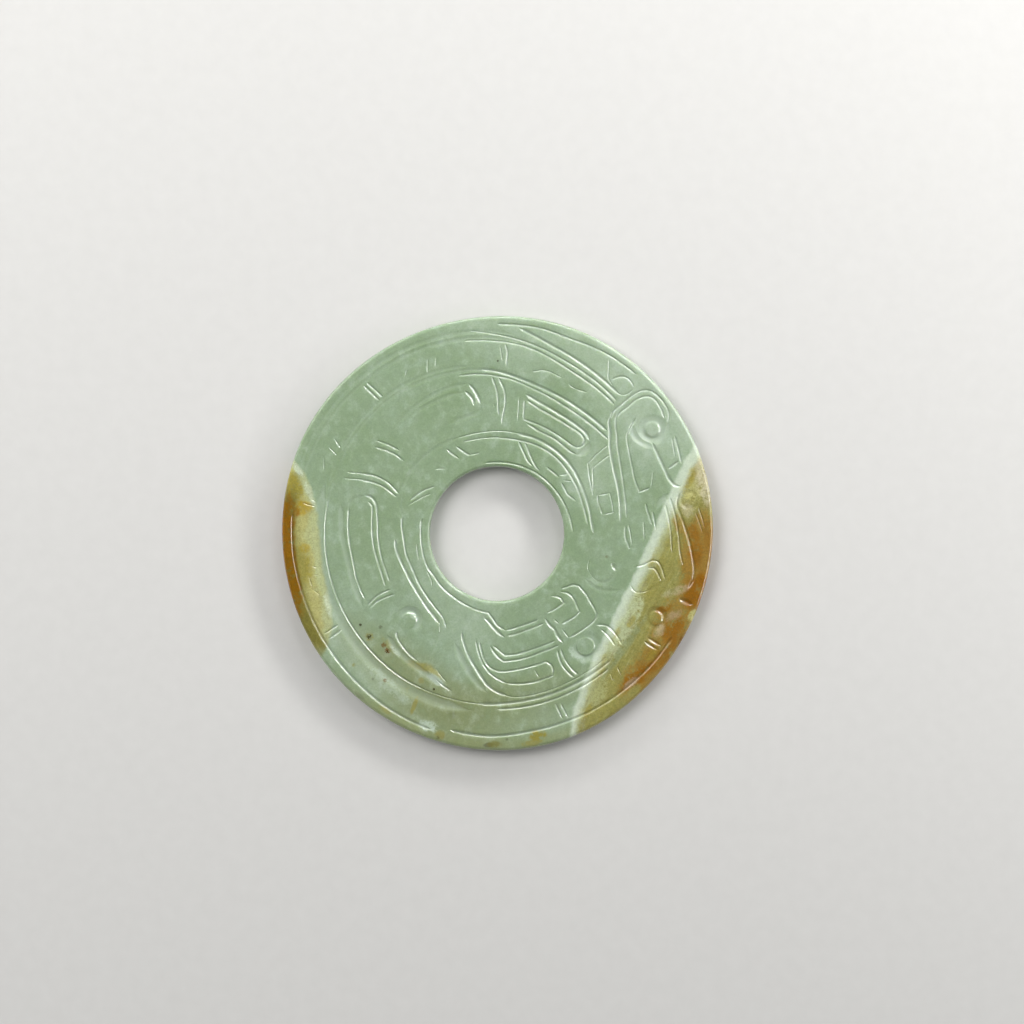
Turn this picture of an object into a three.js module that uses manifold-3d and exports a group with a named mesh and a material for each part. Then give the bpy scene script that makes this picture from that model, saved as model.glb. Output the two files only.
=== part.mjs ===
// Carved jade bi disc: a flat ring of nephrite, one face carved in sunk lines with a coiled
// dragon and its cloud scrolls, the other face finished plainer with rings and cloud hooks.
// Millimetres, +Z up. The disc lies on its plain face, centred on the origin.
// A place on the disc is written [angle, radius]: degrees anticlockwise from +X, and mm.

import * as THREE from 'three';
import { mergeVertices } from 'three/addons/utils/BufferGeometryUtils.js';
import Module from 'manifold-3d';

// ---- driving dimensions ----
const discRadius = 60;
const discThickness = 5;
const holeRadius = 18.6;
const holeCentre = [-0.17, 0.12];
const edgeRound = 1.1;          // rounding of the rim and of the hole's edge
const edgeRoundSteps = 2;
const outlineSegments = 96;
const holeSegments = 48;

// The rim was ground by hand, so it wanders from a circle: [size, waves round, degrees].
const outlineWaves = [
  [0.52, 1, 97],
  [0.32, 2, 140],
  [0.26, 3, 107],
  [0.13, 5, 6],
];

// The cuts of the carving: width at the surface, depth, and the run in which an end rises out.
const cuts = {
  deep: { width: 1.2, depth: 0.5, rise: 1.6 },
  line: { width: 0.85, depth: 0.4, rise: 1.3 },
  fine: { width: 0.55, depth: 0.26, rise: 1.0 },
  channel: { width: 2.4, depth: 0.36, rise: 4.0 },
};
const cutClearance = 0.5;       // how far a cutter stands above the face
const sampleSpacing = 0.4;      // spacing of the samples that a line is worked out from
const bendPerStep = 20;         // degrees of bend before a cutter gets a new section
const longestStep = 12;

// Round bosses of the carving: where, radius of the dome, width of the trench round it.
const bosses = [
  { at: [34.4, 52.4], radius: 2.3, trench: 1.1 },     // eye of the upper head
  { at: [307.6, 39.3], radius: 2.9, trench: 1.6 },    // eye of the lower head
  { at: [223.9, 33.0], radius: 2.3, trench: 0.9 },
  { at: [342.5, 30.6], radius: 3.5, trench: 0.9 },
  { at: [332.0, 49.6], radius: 1.9, trench: 0.7 },
  { at: [50.4, 54.1], radius: 2.1, trench: 0.9 },
];
const bossTrenchDepth = 0.5;
const bossSegments = 12;

// ---- the carved face ----
// Each line is [cut, guide points...]. Between guide points the angle and the radius change
// smoothly, so points at one radius give a true arc.

// Border ring. It runs clockwise from lower right round to the top, and there leaves the rim.
const borderLines = [
  ['deep', [329.5, 56.0], [306, 55.4], [280, 55.3], [257, 55.9], [249, 56.9], [222, 56.5],
    [205, 56.3], [190, 56.7], [154, 57.4], [130, 57.3], [110, 57.0], [91, 55.5], [79, 53.4],
    [69, 51.6], [48.3, 49.5]],
  ['line', [154, 56.5], [130, 56.4], [110, 56.0], [91, 53.6], [81.5, 52.6], [65.6, 49.65],
    [48, 48.35]],
  ['deep', [84, 57.4], [75, 54.7], [65, 53.0], [48, 51.3]],
  ['line', [85.5, 58.0], [70, 57.6], [48.4, 58.5]],
];

// Middle ring, between the outer band and the field, with the channel that sinks the band.
const middleLines = [
  ['deep', [42, 42.3], [49.6, 41.5], [60.6, 41.7], [77, 43.0], [91, 45.5], [101, 47.1],
    [130, 48.1], [141, 48.9], [158, 47.5], [199, 47.6], [220, 47.4], [241, 47.6], [268, 47.1],
    [276, 46.7], [300, 46.6], [312, 46.8]],
  ['line', [41.7, 40.7], [51.5, 39.75], [66, 40.4], [85, 42.9], [95, 44.4], [112, 45.8]],
  ['channel', [168, 49.3], [199, 49.2], [241, 49.2], [262, 48.9]],
  ['fine', [104, 46.4], [98, 46.0], [92.4, 45.2]],
  ['line', [270, 48.4], [285, 48.3], [307, 48.0]],
  ['fine', [272.6, 44.6], [276, 45.3], [300, 45.3], [311.5, 45.6]],
];

// Ring of the hole's edge and the pair that bounds the field on the inside.
const innerLines = [
  ['line', [102, 20.0], [64, 20.3], [33, 20.2], [4, 20.6]],
  ['deep', [116, 28.7], [100, 28.6], [70, 28.8], [50, 28.8], [37, 27.9], [17, 26.4], [1, 26.6]],
  ['line', [98, 27.0], [73, 27.1], [52, 27.2], [34, 25.9], [12, 25.0]],
  ['fine', [158, 28.4], [140, 28.6], [119, 28.9]],
  ['deep', [169, 26.9], [180, 26.2], [217, 25.9], [234, 27.15], [240.5, 28.7], [242, 30.4]],
  ['line', [182, 28.5], [199, 27.8], [221, 27.65], [237, 29.5]],
  ['line', [168, 21.7], [180, 21.2], [207, 21.8], [241, 21.0], [260, 21.6], [268, 23.9],
    [274.6, 26.8], [284, 26.2], [294, 26.3]],
];

// Upper head, at right: crest round the eye, jaw, whisker and the neck bands that fall from it.
const upperHeadLines = [
  ['deep', [45, 45.8], [45.2, 52.8], [43.6, 57.6], [39.2, 58.5], [34.0, 58.0], [33.0, 57.0]],
  ['line', [44.1, 46.8], [44.2, 53.7], [41.6, 57.2], [38.2, 57.2], [33.5, 55.8]],
  ['deep', [43.3, 42.1], [37, 39.5], [26, 36.7], [16, 35.4], [6, 34.2]],
  ['line', [45, 45], [40.8, 42.5], [28, 38.9], [12.8, 36.7], [6, 36.1]],
  ['line', [39.5, 50], [38.8, 45.8], [34, 43.9], [28.8, 42.5], [16.8, 41.2]],
  ['fine', [16.8, 41.2], [17.1, 44.4], [21.8, 46.4]],
  ['deep', [30.2, 49.7], [24, 49.3], [17.6, 49.9], [14.9, 51.2], [14.1, 52.8]],
  ['line', [29, 55.2], [23.6, 53.6]],
  ['line', [29.1, 56.1], [21, 54.9]],
  ['line', [22.0, 54.0], [21.0, 50.6]],
  ['channel', [13.6, 48.9], [11.4, 46.2], [8, 44.0]],
  ['deep', [12.9, 51.8], [9.6, 50.5], [3, 51.8], [-4.3, 53.8], [-12, 55.6], [-16, 54.8]],
  ['line', [12, 48.8], [5, 49.6], [-5, 50.8], [-9.5, 52.0]],
  ['line', [9.9, 47.2], [1.8, 47.9], [-6, 48.6]],
  ['line', [11.7, 41.9], [8.5, 42.1], [3.4, 42.9]],
  ['line', [8.4, 43.4], [1.7, 43.9]],
  ['line', [3.8, 35.5], [-1.3, 35.5], [-6.2, 36.9]],
  ['fine', [4.1, 36.4], [-4.2, 37.3]],
  ['line', [39.3, 39.6], [38.4, 32.2], [34, 30.6], [22, 28.9]],
  ['line', [35.3, 38.8], [35.3, 34.2], [34.2, 31.9], [29, 30.9]],
];

// Neck of the upper body: the long hairpin scroll and the radial lock beside it.
const upperBodyLines = [
  ['deep', [79.3, 39.6], [68, 38.1], [54, 37.6], [46, 36.8], [45.0, 34.9], [46.4, 33.0],
    [50.5, 31.9], [64, 32.3], [78.6, 32.9]],
  ['line', [78.8, 37.8], [65, 36.5], [49.6, 36.2]],
  ['line', [75.7, 31.6], [60.7, 31.0], [45, 30.8], [42, 31.8]],
  ['line', [80.9, 38.4], [80.3, 32.2]],
  ['line', [78.4, 38], [77.3, 32.9]],
  ['line', [92, 43.7], [90, 38.8], [89.5, 33]],
  ['line', [89.7, 43.4], [87.1, 38.2], [86.8, 34.5], [87.8, 30.7]],
  ['line', [89.2, 52], [88.3, 48]],
  ['line', [87.7, 52.8], [86.8, 50.3], [87, 46.6]],
];

// Left body: scroll, locks and the tall hairpin.
const leftBodyLines = [
  ['line', [130, 41.7], [112, 43], [102.5, 42.6], [99.5, 40.5], [97.3, 36.4], [99, 34.7],
    [114, 33.5]],
  ['line', [128, 41], [110, 41.5], [102.6, 40.4], [99.8, 36.5]],
  ['line', [142.3, 42], [140.6, 38.1], [139.7, 35.9]],
  ['line', [144.7, 41.5], [142.7, 37.6], [142, 33]],
  ['line', [157.6, 44.9], [155.5, 39.8], [154.8, 34.9], [157.7, 29.5]],
  ['line', [160.5, 45.6], [157.9, 39.5], [157.6, 34.6], [159.5, 29.9]],
  ['line', [206.3, 40.7], [200, 41.0], [185, 40.8], [172, 41.4], [166.2, 40.6], [163.5, 37.2],
    [166.6, 34.6], [180, 33], [204, 32.6]],
  ['line', [166.2, 36.8], [169.5, 35.3], [188, 34.2], [205, 34.1]],
  ['channel', [169, 43.9], [180, 43.0], [190, 41.9], [208, 42.0]],
  ['line', [208.5, 40.6], [207.2, 36.8], [207.5, 33.8]],
  ['line', [210, 40.1], [209.4, 36.5], [210.2, 32.9]],
  ['line', [223.4, 38.8], [229.8, 40.6], [237.4, 41.4]],
  ['channel', [222, 40.9], [230, 42.3], [241, 43.1], [253, 45.0]],
  ['fine', [159, 26], [153, 24.3], [143, 21.8]],
  ['fine', [162, 25.9], [155, 23.2], [149, 21.6]],
  ['fine', [115, 27], [110, 23.3], [103, 23.1]],
  ['fine', [120.5, 27.4], [117, 23.5]],
  ['line', [77.8, 26.6], [73.8, 24.8], [62.5, 21.2]],
  ['line', [73.9, 26.6], [69, 24.7], [56.5, 21.2]],
  ['line', [54.3, 23.1], [43, 23.3]],
  ['line', [38.9, 22.7], [28.7, 22.5], [23.3, 23.5]],
];

// Lower head, at the bottom: brow, snout with its nostril, mane bands and the square spiral.
const lowerHeadLines = [
  ['line', [261, 23.7], [267, 25.8], [274, 28.9]],
  ['line', [274.7, 28.1], [284, 27.9], [297.5, 27.9]],
  ['line', [267.6, 30.9], [272, 33.3], [278, 33.5], [290, 33.2], [298.2, 33.6]],
  ['line', [266.5, 31.1], [270.5, 34.3], [276, 35.1], [298.6, 34.8]],
  ['line', [260.3, 30.3], [265.8, 34.8], [270.6, 37.7], [285, 37.4], [291.2, 37.6],
    [292.9, 39.2], [291.9, 41.6], [286.6, 42], [273, 41.1]],
  ['line', [257.8, 29.3], [262, 33.8], [267.8, 38.6], [272.7, 40.9]],
  ['deep', [249.7, 28.9], [256.4, 33.3], [266.4, 41.2], [272.6, 44.5]],
  ['channel', [248, 31], [256, 35.6], [262, 40.6], [269, 44.6]],
  ['line', [285.5, 39.3], [286.2, 41.1]],
  ['deep', [299.5, 26.8], [300.2, 31.2], [301.2, 35.4]],
  ['line', [303.9, 27.8], [304.3, 34.1]],
  ['line', [319, 23], [325.8, 25.2], [326.6, 28.2], [321.9, 35], [319, 35.8], [304.6, 34.9]],
  ['line', [319, 24], [320.6, 26.4], [317.2, 30.9], [304.8, 30.5]],
  ['line', [310.9, 22.6], [314.3, 25.0], [312, 26.6], [302.2, 25.7]],
  ['line', [297, 35.7], [296.3, 39.4], [298.6, 45]],
  ['line', [299.3, 35.9], [298.3, 39.7], [300.6, 44.7]],
  ['line', [318.4, 37.5], [319.9, 39.8], [317.9, 46.5]],
  ['line', [317.3, 38.9], [317.1, 44.5]],
];

// Lower right: the curl and the leaf beside the round boss.
const lowerRightLines = [
  ['line', [347.3, 40.2], [350.2, 43.5], [348.6, 46.2], [345, 48]],
  ['line', [347.2, 42.8], [347.8, 44.3], [344.2, 47.1]],
  ['line', [339, 39.4], [337.5, 42.1], [343.4, 47.7]],
  ['deep', [345.6, 26.3], [337.6, 27.4], [334.4, 30.4], [339.5, 34.2]],
  ['line', [21.5, 30.2], [19.4, 32.9], [11.6, 32.6], [11, 29.9], [17.4, 29.4]],
  ['deep', [56.2, 58.1], [55.5, 54.0], [50.5, 51.9], [47.9, 55.2]],
];

// Short paired ticks across the outer band: angle, from radius, to radius, lean in degrees.
const bandTicks = [
  ['line', 130.2, 55.4, 49.8, -0.8],
  ['line', 131.7, 55.3, 49.3, -0.8],
  ['fine', 112.6, 52.2, 48.5, 1.9],
  ['fine', 109.8, 51.6, 49.3, 1.3],
  ['fine', 150.4, 52.4, 49.3, 1.7],
  ['fine', 153.3, 52.4, 49.3, 1.2],
  ['fine', 171.2, 54.6, 49.8, 0.6],
  ['line', 209.7, 55.0, 50.1, -0.5],
  ['line', 211.5, 54.8, 49.9, -0.5],
  ['line', 289.2, 49.8, 54.1, 0.5],
  ['line', 290.8, 50.1, 54.3, 0.6],
  ['line', 325.6, 50.5, 54.3, 0.3],
  ['line', 324.0, 50.3, 54.2, 0.3],
  ['fine', 308.6, 49.7, 51.8, -0.7],
  ['fine', 311.7, 49.4, 51.9, -0.9],
  ['deep', 340.3, 53.5, 57.6, -0.4],
  ['fine', 4.6, 56.2, 57.4, -5.8],
  ['fine', 3.3, 55.2, 56.8, -5.7],
];

// ---- the plain face ----
const backRings = [
  { cut: 'deep', radius: 56.4 },
  { cut: 'line', radius: 21.2 },
];
const backRingSegments = 48;
const backHookCount = 4;
const backHookRadius = 45;
const backHookSpread = 26;      // half the angle that one hook spans
const backHookCurl = 3.4;

const top = discThickness;

function place([angle, radius], z = 0) {
  const turn = THREE.MathUtils.degToRad(angle);
  return new THREE.Vector3(radius * Math.cos(turn), radius * Math.sin(turn), z);
}

function outlineRadius(turn) {
  return outlineWaves.reduce(
    (radius, [size, waves, degrees]) =>
      radius + size * Math.cos(waves * turn - THREE.MathUtils.degToRad(degrees)),
    discRadius,
  );
}

// The blank is extruded between its two rounded edges, so the drawn outline is the flat face's
// and the rounding carries it out to the full radius.
function makeBlank() {
  const outline = [];
  for (let i = 0; i < outlineSegments; i += 1) {
    const turn = (2 * Math.PI * i) / outlineSegments;
    const radius = outlineRadius(turn) - edgeRound;
    outline.push(new THREE.Vector2(radius * Math.cos(turn), radius * Math.sin(turn)));
  }
  const hole = [];
  for (let i = 0; i < holeSegments; i += 1) {
    const turn = (2 * Math.PI * i) / holeSegments;
    const radius = holeRadius + edgeRound;
    hole.push(new THREE.Vector2(
      holeCentre[0] + radius * Math.cos(turn),
      holeCentre[1] + radius * Math.sin(turn),
    ));
  }
  const shape = new THREE.Shape(outline);
  shape.holes.push(new THREE.Path(hole));
  const blank = new THREE.ExtrudeGeometry(shape, {
    depth: discThickness - 2 * edgeRound,
    bevelThickness: edgeRound,
    bevelSize: edgeRound,
    bevelSegments: edgeRoundSteps,
  });
  blank.translate(0, 0, edgeRound);
  return blank;
}

// A cutter's route over a face. Its sections stay upright while its ends rise out of the face.
class CutPath extends THREE.Curve {
  constructor(stations) {
    super();
    this.stations = stations;
  }

  getSpacedPoints() {
    return this.stations;
  }

  computeFrenetFrames() {
    const tangents = this.stations.map((point, i, all) => {
      const before = all[Math.max(i - 1, 0)];
      const after = all[Math.min(i + 1, all.length - 1)];
      return after.clone().sub(before).setZ(0).normalize();
    });
    const normals = tangents.map(() => new THREE.Vector3(0, 0, 1));
    const binormals = tangents.map((tangent, i) => tangent.clone().cross(normals[i]));
    return { tangents, normals, binormals };
  }
}

// Guide points are joined on a flat chart, angle across and radius up, and rolled back after.
function sampleLine(guides) {
  const chartRadius = guides.reduce((sum, [, radius]) => sum + radius, 0) / guides.length;
  const degree = THREE.MathUtils.degToRad(chartRadius);
  const chart = new THREE.CatmullRomCurve3(
    guides.map(([angle, radius]) => new THREE.Vector3(angle * degree, radius, 0)),
  );
  const count = Math.max(8, Math.ceil(chart.getLength() / sampleSpacing));
  return chart.getSpacedPoints(count).map(({ x, y }) => place([x / degree, y]));
}

// Thins a finely sampled line: more sections where it bends, fewer where it runs straight.
function stationsAlong(samples, rise) {
  const travelled = [0];
  for (let i = 1; i < samples.length; i += 1) {
    travelled.push(travelled[i - 1] + samples[i].distanceTo(samples[i - 1]));
  }
  const length = travelled.at(-1);
  const run = Math.min(rise, 0.35 * length);
  const heading = (i) => Math.atan2(
    samples[i].y - samples[i - 1].y,
    samples[i].x - samples[i - 1].x,
  );
  const kept = [0];
  let bend = 0;
  for (let i = 1; i < samples.length - 1; i += 1) {
    const turned = heading(i + 1) - heading(i);
    bend += Math.abs(Math.atan2(Math.sin(turned), Math.cos(turned)));
    const sinceLast = travelled[i] - travelled[kept.at(-1)];
    const startsRun = travelled[i] >= run && travelled[i - 1] < run;
    const endsRun = travelled[i + 1] > length - run && travelled[i] <= length - run;
    const bent = bend > THREE.MathUtils.degToRad(bendPerStep);
    if (startsRun || endsRun || bent || sinceLast > longestStep) {
      kept.push(i);
      bend = 0;
    }
  }
  kept.push(samples.length - 1);
  return kept.map((i) => ({
    point: samples[i],
    sunk: Math.min(1, travelled[i] / run, (length - travelled[i]) / run),
  }));
}

// One V-shaped cutter along guide points. side is 1 on the carved face and -1 on the plain one.
function makeCutter(cutName, guides, side = 1) {
  const { width, depth, rise } = cuts[cutName];
  const samples = sampleLine(guides);
  const height = depth + cutClearance;
  const lip = cutClearance * 0.3;
  const face = side > 0 ? top : 0;
  const stations = stationsAlong(samples, rise).map(({ point, sunk }) => {
    const level = lip - sunk * (depth + lip);
    return new THREE.Vector3(point.x, point.y, face + side * level);
  });
  const halfTop = (0.5 * width * height) / depth;
  const section = new THREE.Shape([
    new THREE.Vector2(0, 0),
    new THREE.Vector2(side * height, -side * halfTop),
    new THREE.Vector2(side * height, side * halfTop),
  ]);
  return new THREE.ExtrudeGeometry(section, {
    steps: stations.length - 1,
    extrudePath: new CutPath(stations),
  });
}

function tickGuides([angle, from, to, lean]) {
  return [[angle - lean / 2, from], [angle + lean / 2, to]];
}

// The trench round a boss leaves a low dome standing in its middle.
function makeBossCutter({ at, radius, trench }) {
  const profile = [
    [0.62 * radius, cutClearance],
    [0.62 * radius, 0],
    [0.88 * radius, -0.32 * bossTrenchDepth],
    [radius, -bossTrenchDepth],
    [radius + trench, 0.02],
    [radius + trench, cutClearance],
  ].map(([x, y]) => new THREE.Vector2(x, y));
  profile.push(profile[0].clone());
  const cutter = new THREE.LatheGeometry(profile, bossSegments);
  cutter.rotateX(Math.PI / 2);
  const centre = place(at, top);
  cutter.translate(centre.x, centre.y, centre.z);
  return cutter;
}

function makeBackRing({ cut, radius }) {
  const { width, depth } = cuts[cut];
  const halfTop = (0.5 * width * (depth + cutClearance)) / depth;
  const profile = [
    [radius, depth],
    [radius - halfTop, -cutClearance],
    [radius + halfTop, -cutClearance],
    [radius, depth],
  ].map(([x, y]) => new THREE.Vector2(x, y));
  const ring = new THREE.LatheGeometry(profile, backRingSegments);
  ring.rotateX(Math.PI / 2);
  return ring;
}

// A cloud hook on the plain face: a long arc whose two ends curl inwards.
function hookGuides(index, inset) {
  const middle = (360 * index) / backHookCount + 45;
  const radius = backHookRadius - inset;
  const curl = backHookCurl - inset;
  const spread = backHookSpread - inset;
  const curlTurn = THREE.MathUtils.radToDeg(curl / radius);
  const end = (sign) => [
    [middle + sign * (spread - curlTurn * 0.4), radius - 2 * curl],
    [middle + sign * (spread + curlTurn * 0.7), radius - curl],
    [middle + sign * spread, radius],
  ];
  return [...end(-1), [middle, radius + 0.8], ...end(1).reverse()];
}

// ---- joining and cutting ----
const wasm = await Module();
wasm.setup();

function toSolid(geometry) {
  const bare = geometry.clone();
  bare.deleteAttribute('normal');
  bare.deleteAttribute('uv');
  const merged = mergeVertices(bare, 1e-5);
  return new wasm.Manifold(new wasm.Mesh({
    numProp: 3,
    vertProperties: new Float32Array(merged.attributes.position.array),
    triVerts: new Uint32Array(merged.index.array),
  }));
}

function toGeometry(solid) {
  const mesh = solid.getMesh();
  const geometry = new THREE.BufferGeometry();
  geometry.setAttribute('position', new THREE.BufferAttribute(mesh.vertProperties, 3));
  geometry.setIndex(new THREE.BufferAttribute(mesh.triVerts, 1));
  geometry.computeVertexNormals();
  return geometry;
}

function carveDisc() {
  const carvedFace = [
    ...borderLines,
    ...middleLines,
    ...innerLines,
    ...upperHeadLines,
    ...upperBodyLines,
    ...leftBodyLines,
    ...lowerHeadLines,
    ...lowerRightLines,
    ...bandTicks.map(([cut, ...tick]) => [cut, ...tickGuides(tick)]),
  ];
  const cutters = carvedFace.map(([cut, ...guides]) => makeCutter(cut, guides));
  cutters.push(...bosses.map(makeBossCutter));
  cutters.push(...backRings.map(makeBackRing));
  for (let i = 0; i < backHookCount; i += 1) {
    cutters.push(makeCutter('line', hookGuides(i, 0), -1));
    cutters.push(makeCutter('fine', hookGuides(i, 1.8), -1));
  }
  return cutters.reduce(
    (solid, cutter) => solid.subtract(toSolid(cutter)),
    toSolid(makeBlank()),
  );
}

const jade = new THREE.MeshStandardMaterial({
  name: 'jade',
  color: new THREE.Color().setRGB(0.62, 0.72, 0.6, THREE.SRGBColorSpace),
  roughness: 0.3,
  metalness: 0,
});

const discGeometry = toGeometry(carveDisc());
discGeometry.computeBoundingBox();
const middle = discGeometry.boundingBox.getCenter(new THREE.Vector3());
discGeometry.translate(-middle.x, -middle.y, 0);

const disc = new THREE.Mesh(discGeometry, jade);
disc.name = 'jade_disc';

const object = new THREE.Group();
object.add(disc);

export default object;
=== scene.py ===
import math

import bmesh
import bpy
from mathutils import Matrix, Vector, noise


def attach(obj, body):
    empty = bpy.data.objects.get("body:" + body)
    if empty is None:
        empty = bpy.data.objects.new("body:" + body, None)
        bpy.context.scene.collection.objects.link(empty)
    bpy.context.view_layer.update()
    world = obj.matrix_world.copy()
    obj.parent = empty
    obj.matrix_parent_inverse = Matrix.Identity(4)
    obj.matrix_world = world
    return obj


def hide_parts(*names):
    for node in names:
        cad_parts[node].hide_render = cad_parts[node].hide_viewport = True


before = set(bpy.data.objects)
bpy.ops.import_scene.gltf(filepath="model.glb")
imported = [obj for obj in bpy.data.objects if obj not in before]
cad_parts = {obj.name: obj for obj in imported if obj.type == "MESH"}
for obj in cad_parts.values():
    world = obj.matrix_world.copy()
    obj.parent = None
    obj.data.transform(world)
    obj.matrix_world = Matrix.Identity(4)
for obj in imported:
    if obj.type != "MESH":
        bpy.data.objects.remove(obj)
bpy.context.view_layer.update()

# A carved jade bi disc. Shapes are worked out in millimetres and scaled to metres at the end.
# A place on the disc is written (angle, radius): degrees anticlockwise from +X, and mm.

discShape = {
    "radius": 59.98,        # a hair under the solid's, so the finer facets stay in its box
    "thickness": 5.0,
    "holeRadius": 18.6,
    "holeCentre": (-0.17, 0.12),
    "edgeRound": 1.1,
    "edgeSegments": 6,
    "rings": 28,            # edges between the hole and the rim, on each face
    "turns": 300,
    "outlineWaves": ((0.52, 1, 97), (0.32, 2, 140), (0.26, 3, 107), (0.13, 5, 6)),
    "swell": 0.07,          # how far the ground face dips below true
    "swellSizes": (17, 7),  # how far apart the broad and the narrow dips lie
    "mergeGap": 0.002,
    "sliver": 0.001,
    "sharpAngle": 24,
}

cutShapes = {
    "deep": {"width": 1.15, "depth": 0.34, "rise": 1.4, "wobble": 0.12},
    "gouge": {"width": 1.9, "depth": 0.46, "rise": 1.2, "wobble": 0.1},
    "line": {"width": 0.85, "depth": 0.26, "rise": 1.0, "wobble": 0.16},
    "fine": {"width": 0.52, "depth": 0.15, "rise": 0.8, "wobble": 0.22},
    "worn": {"width": 1.7, "depth": 0.12, "rise": 3.0, "wobble": 0.12},
    "channel": {"width": 2.4, "depth": 0.27, "rise": 2.6, "wobble": 0.12},
    "broad": {"width": 3.8, "depth": 0.36, "rise": 9.0, "wobble": 0.08},
}
# Half of a cut's section, in half widths and depths: a rounded bottom and polished lips.
cutSection = ((0, -1), (0.2, -0.93), (0.5, -0.58), (0.8, -0.19), (0.93, -0.055), (1.06, 0.02),
              (1.16, 0.12), (1.16, 1.5))
strokeShape = {
    "spacing": 0.7,         # between the points of a cut
    "longestRise": 0.42,    # most of a short cut that one end may take to rise out
    "narrowest": 0.12,      # share of the width left at an end
    "wobbleSize": 2.5,      # how far apart a cut swells and narrows
}

# A place given twice running in a line below is a sharp corner.
# Border ring. It runs clockwise from lower right round to the top, and there leaves the rim.
borderLines = [
    ("deep", (329.5, 56.0), (306, 55.4), (280, 55.3), (268, 55.9), (256.5, 55.8)),
    ("deep", (251, 57.1), (240, 56.9), (228, 56.5), (212, 56.25), (198, 56.3), (184, 56.7),
     (174, 56.9)),
    ("worn", (182, 57.0), (165, 57.6), (150, 57.8), (130, 57.6), (112, 57.2), (98, 56.6),
     (86, 55.6)),
    ("worn", (176, 55.9), (160, 56.0), (138, 56.1), (120, 55.7), (102, 55.0), (92, 54.5),
     (82, 53.2)),
    ("line", (98, 56.9), (91, 55.5), (79, 53.4), (69, 51.6), (48.3, 49.5)),
    ("line", (100, 54.4), (91, 53.6), (81.5, 52.6), (65.6, 49.65), (48, 48.35)),
    ("deep", (84, 57.4), (75, 54.7), (65, 53.0), (56, 51.9), (49.0, 51.3)),
    ("fine", (50.2, 51.2), (48.4, 51.6), (47.2, 53.0), (47.0, 54.8)),
    ("line", (90, 58.2), (78, 58.3), (70, 57.8), (60, 58.4), (49, 58.6)),
]

# Middle ring, between the outer band and the field, with the channel that sinks the band.
middleLines = [
    ("deep", (43.4, 41.7), (48, 41.55), (57, 41.55), (66, 41.9), (72, 42.3), (78, 43.0),
     (84, 44.0), (91, 45.3), (96, 45.9)),
    ("worn", (92, 45.4), (102, 46.3), (114, 47.1), (120, 47.5), (129, 47.9), (140, 48.0),
     (150, 47.9), (160, 47.7), (176, 47.7)),
    ("worn", (100, 47.2), (114, 48.3), (130, 49.0), (150, 49.0), (166, 48.8)),
    ("line", (168, 47.7), (182, 47.7), (199, 47.7), (220, 47.6), (236, 47.7), (244, 47.5)),
    ("fine", (242, 47.6), (256, 47.3), (268, 47.1)),
    ("deep", (264, 47.2), (276, 46.8), (300, 46.7), (312, 46.8)),
    ("line", (40.4, 40.4), (48, 40.0), (54, 39.9), (60, 40.0), (66, 40.4), (72, 41.0),
     (78, 41.8), (84, 43.0), (90, 43.8), (96, 44.6), (104, 45.2)),
    ("broad", (163, 49.6), (180, 49.7), (199, 49.6), (220, 49.7), (241, 49.6), (262, 49.3)),
    ("fine", (104, 46.4), (98, 46.0), (92.4, 45.2)),
    ("line", (270, 48.4), (285, 48.3), (300, 48.15), (309.5, 48.2)),
    ("fine", (272.6, 44.6), (276, 45.3), (300, 45.4), (311.5, 45.5)),
]

# Ring of the hole's edge and the pair that bounds the field on the inside.
innerLines = [
    ("line", (100, 20.0), (78, 20.0), (54, 20.1), (36, 20.2), (18, 20.5), (2, 20.9)),
    ("deep", (80, 28.5), (66, 28.5), (54, 28.25), (42, 27.75), (33, 27.1), (24, 26.6),
     (15, 26.4), (9, 26.3), (0.6, 26.6)),
    ("fine", (112, 28.8), (100, 28.6), (88, 28.6), (76, 28.5)),
    ("fine", (110, 27.2), (98, 26.9), (88, 26.8)),
    ("line", (90, 26.7), (78, 26.7), (66, 26.9), (57, 26.85), (48, 26.5), (39, 25.95),
     (30, 25.55), (21, 25.1), (12, 25.05), (6, 25.2)),
    ("worn", (112, 28.9), (128, 29.3), (144, 29.5), (156, 28.8), (168, 27.4)),
    ("line", (169.4, 26.7), (174, 26.6), (180, 26.1), (186, 25.85), (193, 25.85), (198, 25.55),
     (204, 25.4), (213, 25.7), (222, 26.05), (231, 26.75), (235.2, 27.25), (238.8, 28.25),
     (241.2, 29.4)),
    ("deep", (183, 28.4), (189, 28.25), (195, 27.75), (201, 27.4), (207, 27.25), (216, 27.4),
     (222, 27.75), (228, 28.25), (234, 28.9), (237.6, 29.6)),
    ("worn", (240.2, 29.2), (240.8, 33), (241.4, 38), (242, 43)),
    ("line", (168, 21.4), (180, 21.15), (190, 21.2), (200, 21.35), (207, 21.3), (213, 21.0),
     (222, 21.15), (234, 21.15), (246, 21.4), (256, 21.7), (263.2, 21.8), (263.2, 21.8),
     (266.4, 23.2), (270, 25.2), (274.8, 26.7)),
    ("line", (274.8, 26.7), (285, 26.2), (295.2, 26.2)),
]

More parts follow.
